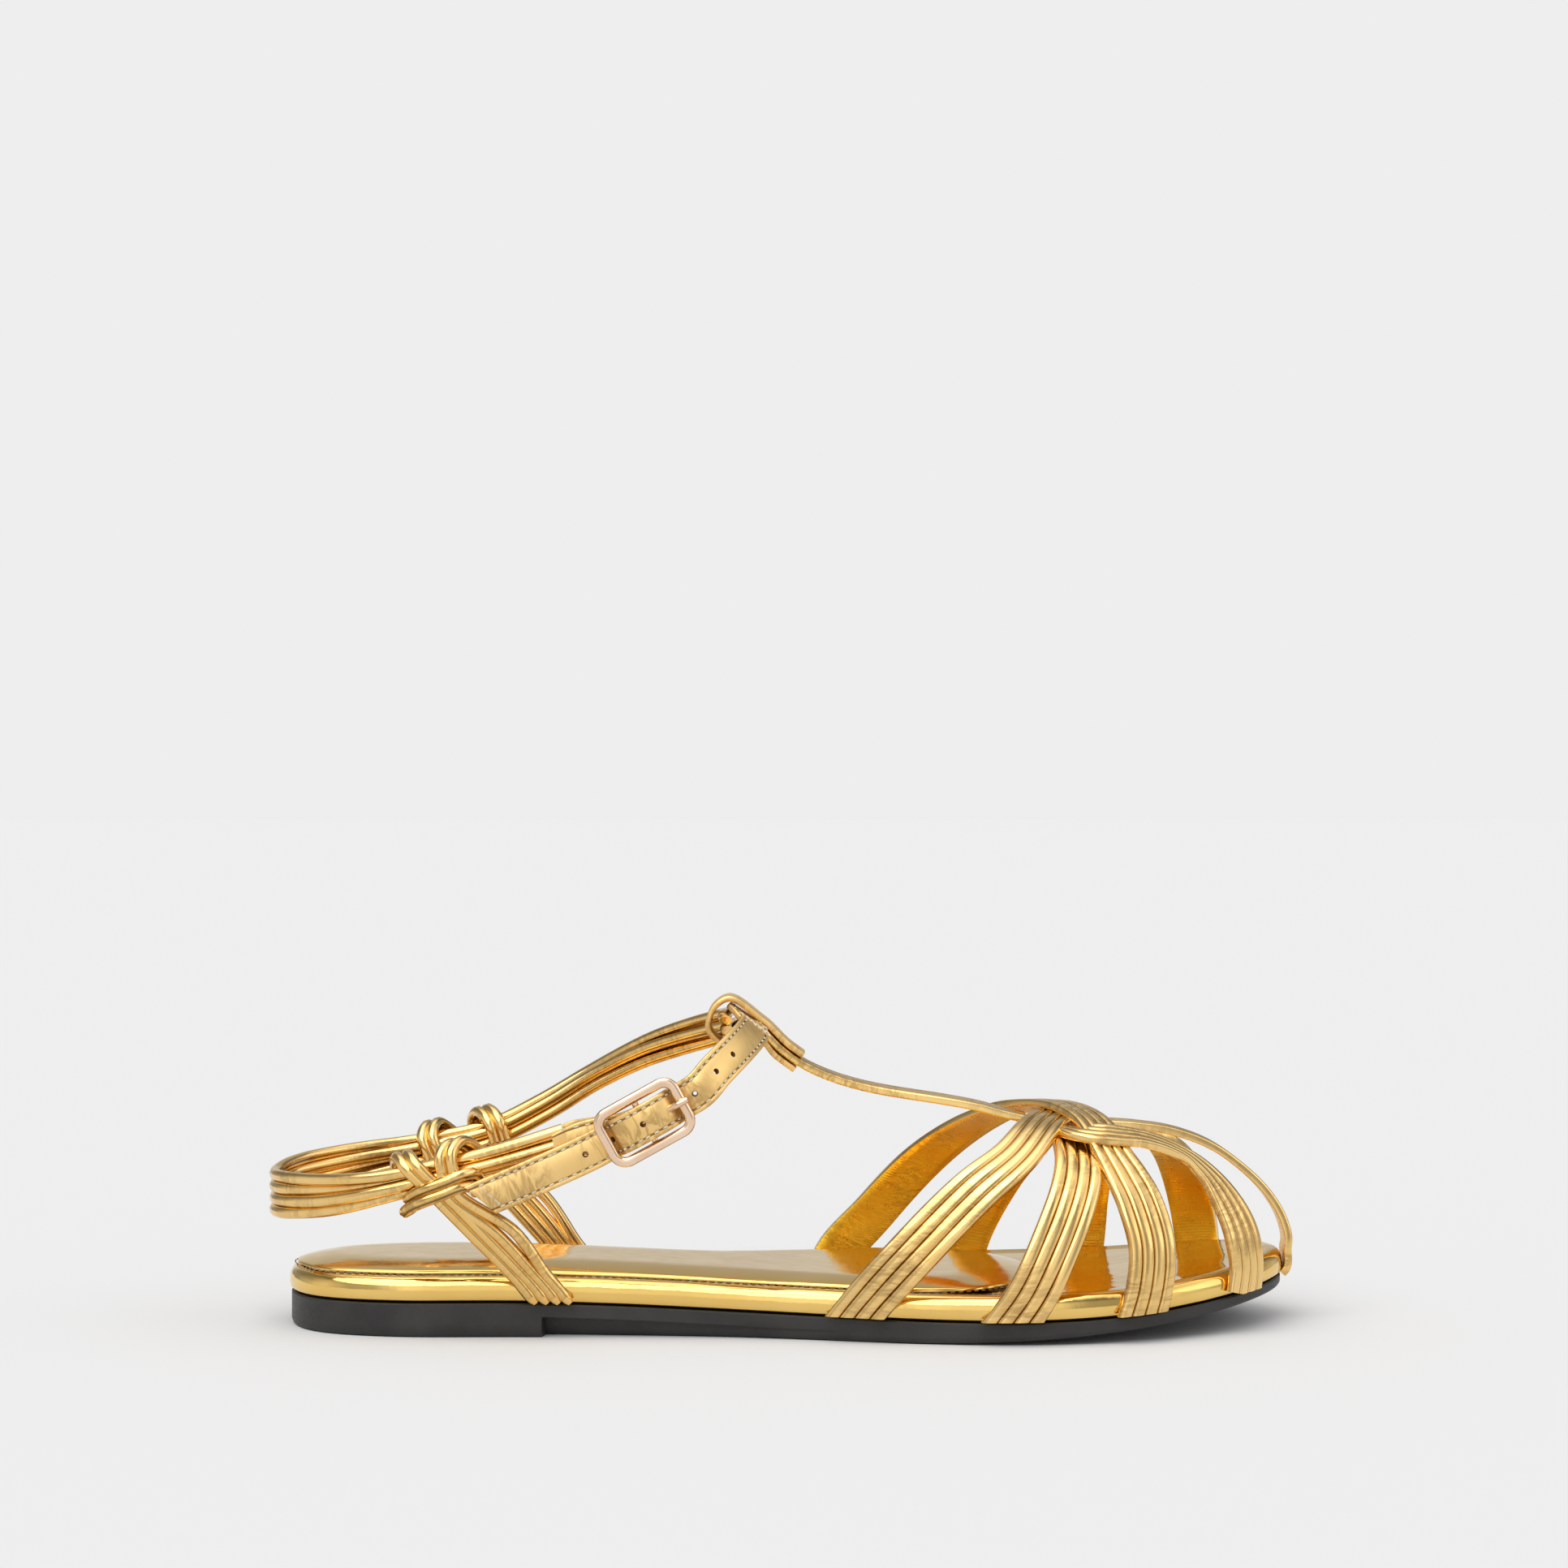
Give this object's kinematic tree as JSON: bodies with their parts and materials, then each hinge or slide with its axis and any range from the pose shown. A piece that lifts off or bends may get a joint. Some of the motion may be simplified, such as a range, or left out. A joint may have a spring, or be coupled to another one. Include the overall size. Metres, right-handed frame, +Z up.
{
  "type": "t-strap sandal",
  "caption": "Flat sandal with a woven cage of ribbed straps over the toes, a T-strap, knotted heel cords and a small ankle buckle",
  "frame": {"origin": "on the flat underside of the heel, on the floor, 32 mm forward of the footbed's back", "axes": "+X to the toe, +Y to the medial side of this right shoe, +Z up"},
  "size_m": [0.2553, 0.0899, 0.0811],
  "materials": {
    "outsole": "satin black moulded rubber",
    "footbed": "mirror gold foil on faux leather",
    "insole": "mirror gold foil on faux leather, padded",
    "straps": "gold foil on faux leather, satin gloss",
    "cords": "gold foil on faux leather, satin gloss",
    "band": "satin gold faux leather, stitched",
    "buckle": "polished pale rose gold plate"
  },
  "bodies": {
    "root": {"outsole": "outsole", "footbed": "footbed", "insole_pad": "insole", "cage_straps": "straps", "instep_strap": "straps", "instep_loop": "straps", "ankle_cords": "cords", "lateral_tie": "cords", "medial_tie": "cords", "buckle_tab": "band", "buckle_strap": "band", "buckle_frame": "buckle", "buckle_prong": "buckle"}
  },
  "joints": []
}
